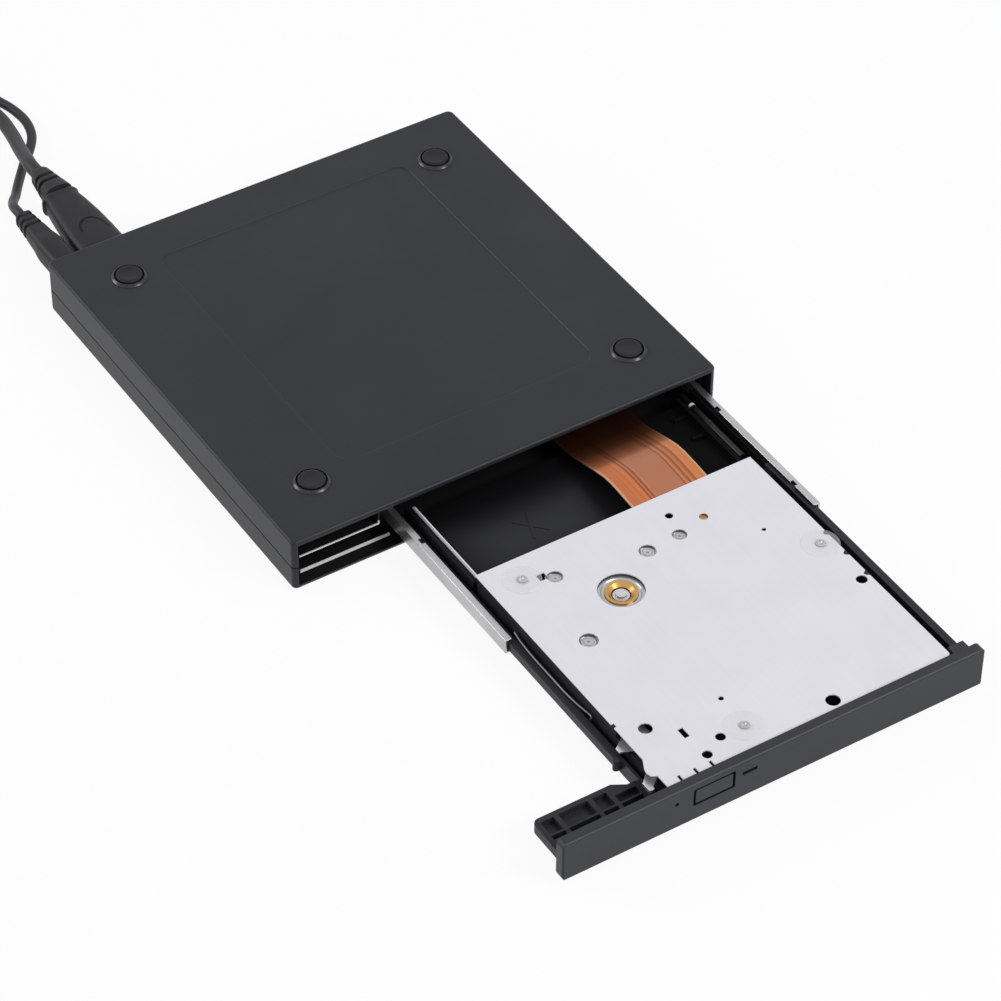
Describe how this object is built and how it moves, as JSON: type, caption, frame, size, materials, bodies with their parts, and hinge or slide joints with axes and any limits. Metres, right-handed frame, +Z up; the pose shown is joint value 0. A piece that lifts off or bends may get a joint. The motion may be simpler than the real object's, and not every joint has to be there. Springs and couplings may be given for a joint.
{
  "type": "external dvd drive",
  "caption": "Slim external optical disc drive lying feet up, its telescopic disc tray pulled out, with power and data cords to coils and plugs.",
  "frame": {"origin": "centre of the flat top cover, on which the drive lies here, at floor level", "axes": "+Z up, out of the face with the feet; the tray slides out toward -Y; +X to the right of someone who faces the bezel"},
  "size_m": [0.2112, 0.4517, 0.0183],
  "materials": {
    "shell": "fine matte grain, charcoal grey",
    "bezel": "smooth satin, dark grey",
    "tray": "moulded black, slight sheen",
    "rubber": "matte black rubber",
    "cord": "soft cable jacket, charcoal",
    "plate_steel": "bright galvanised sheet",
    "steel": "plain bright steel",
    "dark_steel": "dull grey steel",
    "brass": "turned, satin",
    "board": "green lacquered circuit board",
    "flex": "amber film over copper tracks",
    "clear": "clear moulded plastic",
    "glass": "coated moulded lens"
  },
  "bodies": {
    "enclosure": {"bottom_shell": "shell", "top_shell": "shell", "foot_front_left": "rubber", "foot_rear_left": "rubber", "foot_front_right": "rubber", "foot_rear_right": "rubber", "bridge_board": "board", "usb_socket": "steel", "dc_jack": "tray", "housing_pan": "plate_steel", "housing_cover": "plate_steel", "main_board": "board", "slim_connector": "tray", "rail_guide_left": "tray", "rail_guide_right": "tray", "flex_cable": "flex", "usb_plug": "cord", "usb_cord": "cord", "usb_coil": "cord", "usb_tie": "rubber", "usb_lead": "cord", "usb_host_plug": "cord", "usb_host_shell": "steel", "dc_plug": "cord", "dc_cord": "cord", "dc_coil": "cord", "dc_tie": "rubber", "dc_lead": "cord", "dc_host_plug": "cord", "dc_host_shell": "steel"},
    "tray_unit": {"tray": "tray", "bezel": "bezel", "light_pipe": "clear", "tray_plate": "plate_steel", "tray_board": "board", "latch_solenoid": "dark_steel", "wire_spring": "steel", "earth_strip": "steel", "washer_right": "clear", "washer_rear_left": "clear", "washer_front": "clear", "traverse_chassis": "dark_steel", "spindle_motor": "brass", "guide_rod_near": "steel", "guide_rod_far": "steel", "feed_motor": "steel"},
    "left_rail": {"rail_left": "steel"},
    "right_rail": {"rail_right": "steel"},
    "button": {"eject_button": "bezel"},
    "latch": {"latch_lever": "steel"},
    "ejector": {"ejector_plunger": "tray"},
    "disc_hub": {"turntable": "steel"},
    "pickup_sled": {"pickup": "dark_steel", "lens": "glass"},
    "feed_screw": {"lead_screw": "brass"}
  },
  "joints": [
    {"name": "tray_slide", "type": "slide", "parent": "enclosure", "child": "tray_unit", "axis": [0, 1, 0], "range_m": [0, 0.1243], "deforming": ["flex_cable"]},
    {"name": "rail_left_slide", "type": "slide", "parent": "enclosure", "child": "left_rail", "axis": [0, 1, 0], "range_m": [0, 0.0759]},
    {"name": "rail_right_slide", "type": "slide", "parent": "enclosure", "child": "right_rail", "axis": [0, 1, 0], "range_m": [0, 0.0759]},
    {"name": "button_press", "type": "slide", "parent": "tray_unit", "child": "button", "axis": [0, 1, 0], "range_m": [0, 0.0008], "stiffness_N_per_m": 300, "springref_m": -0.0005},
    {"name": "latch_turn", "type": "hinge", "parent": "tray_unit", "child": "latch", "pos_m": [-0.0255, -0.1782, 0.011], "axis": [0, 0, 1], "range_deg": [-12, 0], "stiffness_Nm_per_rad": 0.002, "springref_deg": 2.86},
    {"name": "ejector_push", "type": "slide", "parent": "tray_unit", "child": "ejector", "axis": [0, -1, 0], "range_m": [0, 0.007], "stiffness_N_per_m": 150, "springref_m": -0.002},
    {"name": "turntable_spin", "type": "hinge", "parent": "tray_unit", "child": "disc_hub", "pos_m": [-0.0019, -0.1254, 0.0075], "axis": [0, 0, 1], "continuous": true},
    {"name": "pickup_slide", "type": "slide", "parent": "tray_unit", "child": "pickup_sled", "axis": [0.6428, -0.766, 0], "range_m": [0, 0.033]},
    {"name": "lead_screw_spin", "type": "hinge", "parent": "tray_unit", "child": "feed_screw", "pos_m": [0.0108, -0.1147, 0.0099], "axis": [0.6428, -0.766, 0], "range_deg": [0, 3960.5]}
  ],
  "couplings": [
    {"joint": "rail_left_slide", "follows": "tray_slide", "ratio": 0.61},
    {"joint": "rail_right_slide", "follows": "tray_slide", "ratio": 0.61},
    {"joint": "lead_screw_spin", "follows": "pickup_slide", "rad_per_m": 2094.4}
  ]
}
